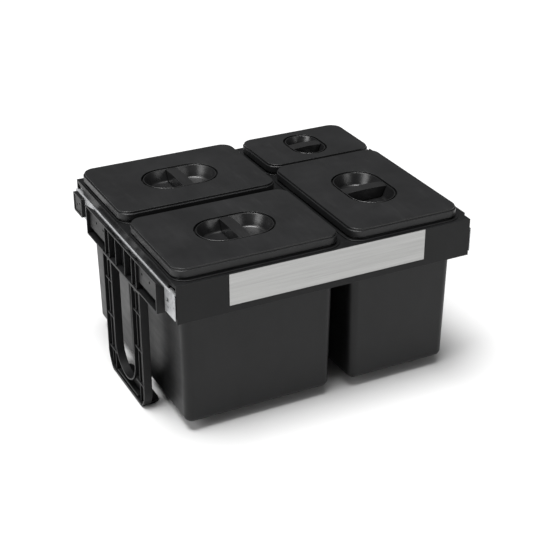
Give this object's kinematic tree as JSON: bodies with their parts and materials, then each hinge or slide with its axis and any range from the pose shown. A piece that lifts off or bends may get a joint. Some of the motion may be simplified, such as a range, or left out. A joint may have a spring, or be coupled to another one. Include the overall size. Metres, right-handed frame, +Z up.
{
  "type": "pull-out waste bin unit",
  "caption": "Pull-out waste sorting unit for a base cabinet: lidded bins hang in a sliding frame on ball-bearing runners between two ribbed side brackets.",
  "frame": {"origin": "middle of the unit's footprint, at the height that the bracket feet stand on", "axes": "+X to the unit's right seen from the front, +Y towards the rear of the cabinet, +Z up; the drawer opens towards -Y"},
  "size_m": [0.564, 0.4526, 0.308],
  "materials": {
    "bin_plastic": "satin charcoal polypropylene",
    "lid_plastic": "satin charcoal polypropylene",
    "grip_plastic": "semi-gloss charcoal",
    "frame_plastic": "matt black",
    "bracket_plastic": "fine-textured black",
    "trim_steel": "brushed along its length",
    "galvanised_steel": "zinc plated",
    "ball_steel": "polished",
    "cage_plastic": "moulded grey",
    "fastener_steel": "zinc plated"
  },
  "bodies": {
    "cabinet_side": {"left_side_bracket": "bracket_plastic", "left_cabinet_rail": "galvanised_steel", "left_rear_spacer": "bracket_plastic", "left_rail_rivets": "fastener_steel", "right_side_bracket": "bracket_plastic", "right_cabinet_rail": "galvanised_steel", "right_rear_spacer": "bracket_plastic", "right_rail_rivets": "fastener_steel"},
    "left_middle_rail": {"left_middle_rail": "galvanised_steel"},
    "left_outer_cage": {"left_outer_ball_cage": "cage_plastic", "left_outer_balls": "ball_steel"},
    "left_inner_cage": {"left_inner_ball_cage": "cage_plastic", "left_inner_balls": "ball_steel"},
    "right_middle_rail": {"right_middle_rail": "galvanised_steel"},
    "right_outer_cage": {"right_outer_ball_cage": "cage_plastic", "right_outer_balls": "ball_steel"},
    "right_inner_cage": {"right_inner_ball_cage": "cage_plastic", "right_inner_balls": "ball_steel"},
    "sliding_frame": {"front_panel": "frame_plastic", "rear_panel": "frame_plastic", "left_side_panel": "frame_plastic", "right_side_panel": "frame_plastic", "centre_divider": "frame_plastic", "left_cross_divider": "frame_plastic", "right_cross_divider": "frame_plastic", "front_trim_strip": "trim_steel", "left_drawer_rail": "galvanised_steel", "right_drawer_rail": "galvanised_steel", "left_runner_screws": "fastener_steel", "right_runner_screws": "fastener_steel", "left_frame_screws": "fastener_steel", "right_frame_screws": "fastener_steel"},
    "front_left_bin": {"front_left_bin": "bin_plastic"},
    "front_left_lid": {"front_left_lid": "lid_plastic", "front_left_grip_cup": "grip_plastic", "front_left_grip_bar": "grip_plastic"},
    "rear_left_bin": {"rear_left_bin": "bin_plastic"},
    "rear_left_lid": {"rear_left_lid": "lid_plastic", "rear_left_grip_cup": "grip_plastic", "rear_left_grip_bar": "grip_plastic"},
    "front_right_bin": {"front_right_bin": "bin_plastic"},
    "front_right_lid": {"front_right_lid": "lid_plastic", "front_right_grip_cup": "grip_plastic", "front_right_grip_bar": "grip_plastic"},
    "rear_right_bin": {"rear_right_bin": "bin_plastic"},
    "rear_right_lid": {"rear_right_lid": "lid_plastic", "rear_right_grip_cup": "grip_plastic", "rear_right_grip_bar": "grip_plastic"}
  },
  "joints": [
    {"name": "drawer_slide", "type": "slide", "parent": "cabinet_side", "child": "sliding_frame", "axis": [0, -1, 0], "range_m": [0, 0.4]},
    {"name": "left_middle_rail_slide", "type": "slide", "parent": "cabinet_side", "child": "left_middle_rail", "axis": [0, -1, 0], "range_m": [0, 0.2]},
    {"name": "left_outer_cage_slide", "type": "slide", "parent": "cabinet_side", "child": "left_outer_cage", "axis": [0, -1, 0], "range_m": [0, 0.1]},
    {"name": "left_inner_cage_slide", "type": "slide", "parent": "cabinet_side", "child": "left_inner_cage", "axis": [0, -1, 0], "range_m": [0, 0.3]},
    {"name": "right_middle_rail_slide", "type": "slide", "parent": "cabinet_side", "child": "right_middle_rail", "axis": [0, -1, 0], "range_m": [0, 0.2]},
    {"name": "right_outer_cage_slide", "type": "slide", "parent": "cabinet_side", "child": "right_outer_cage", "axis": [0, -1, 0], "range_m": [0, 0.1]},
    {"name": "right_inner_cage_slide", "type": "slide", "parent": "cabinet_side", "child": "right_inner_cage", "axis": [0, -1, 0], "range_m": [0, 0.3]},
    {"name": "front_left_bin_lift", "type": "slide", "parent": "sliding_frame", "child": "front_left_bin", "axis": [0, 0, 1], "range_m": [0, 0.32]},
    {"name": "front_left_lid_lift", "type": "slide", "parent": "front_left_bin", "child": "front_left_lid", "axis": [0, 0, 1], "range_m": [0, 0.15]},
    {"name": "rear_left_bin_lift", "type": "slide", "parent": "sliding_frame", "child": "rear_left_bin", "axis": [0, 0, 1], "range_m": [0, 0.32]},
    {"name": "rear_left_lid_lift", "type": "slide", "parent": "rear_left_bin", "child": "rear_left_lid", "axis": [0, 0, 1], "range_m": [0, 0.15]},
    {"name": "front_right_bin_lift", "type": "slide", "parent": "sliding_frame", "child": "front_right_bin", "axis": [0, 0, 1], "range_m": [0, 0.32]},
    {"name": "front_right_lid_lift", "type": "slide", "parent": "front_right_bin", "child": "front_right_lid", "axis": [0, 0, 1], "range_m": [0, 0.15]},
    {"name": "rear_right_bin_lift", "type": "slide", "parent": "sliding_frame", "child": "rear_right_bin", "axis": [0, 0, 1], "range_m": [0, 0.32]},
    {"name": "rear_right_lid_lift", "type": "slide", "parent": "rear_right_bin", "child": "rear_right_lid", "axis": [0, 0, 1], "range_m": [0, 0.15]}
  ],
  "couplings": [
    {"joint": "left_middle_rail_slide", "follows": "drawer_slide", "ratio": 0.5},
    {"joint": "left_outer_cage_slide", "follows": "drawer_slide", "ratio": 0.25},
    {"joint": "left_inner_cage_slide", "follows": "drawer_slide", "ratio": 0.75},
    {"joint": "right_middle_rail_slide", "follows": "drawer_slide", "ratio": 0.5},
    {"joint": "right_outer_cage_slide", "follows": "drawer_slide", "ratio": 0.25},
    {"joint": "right_inner_cage_slide", "follows": "drawer_slide", "ratio": 0.75}
  ]
}
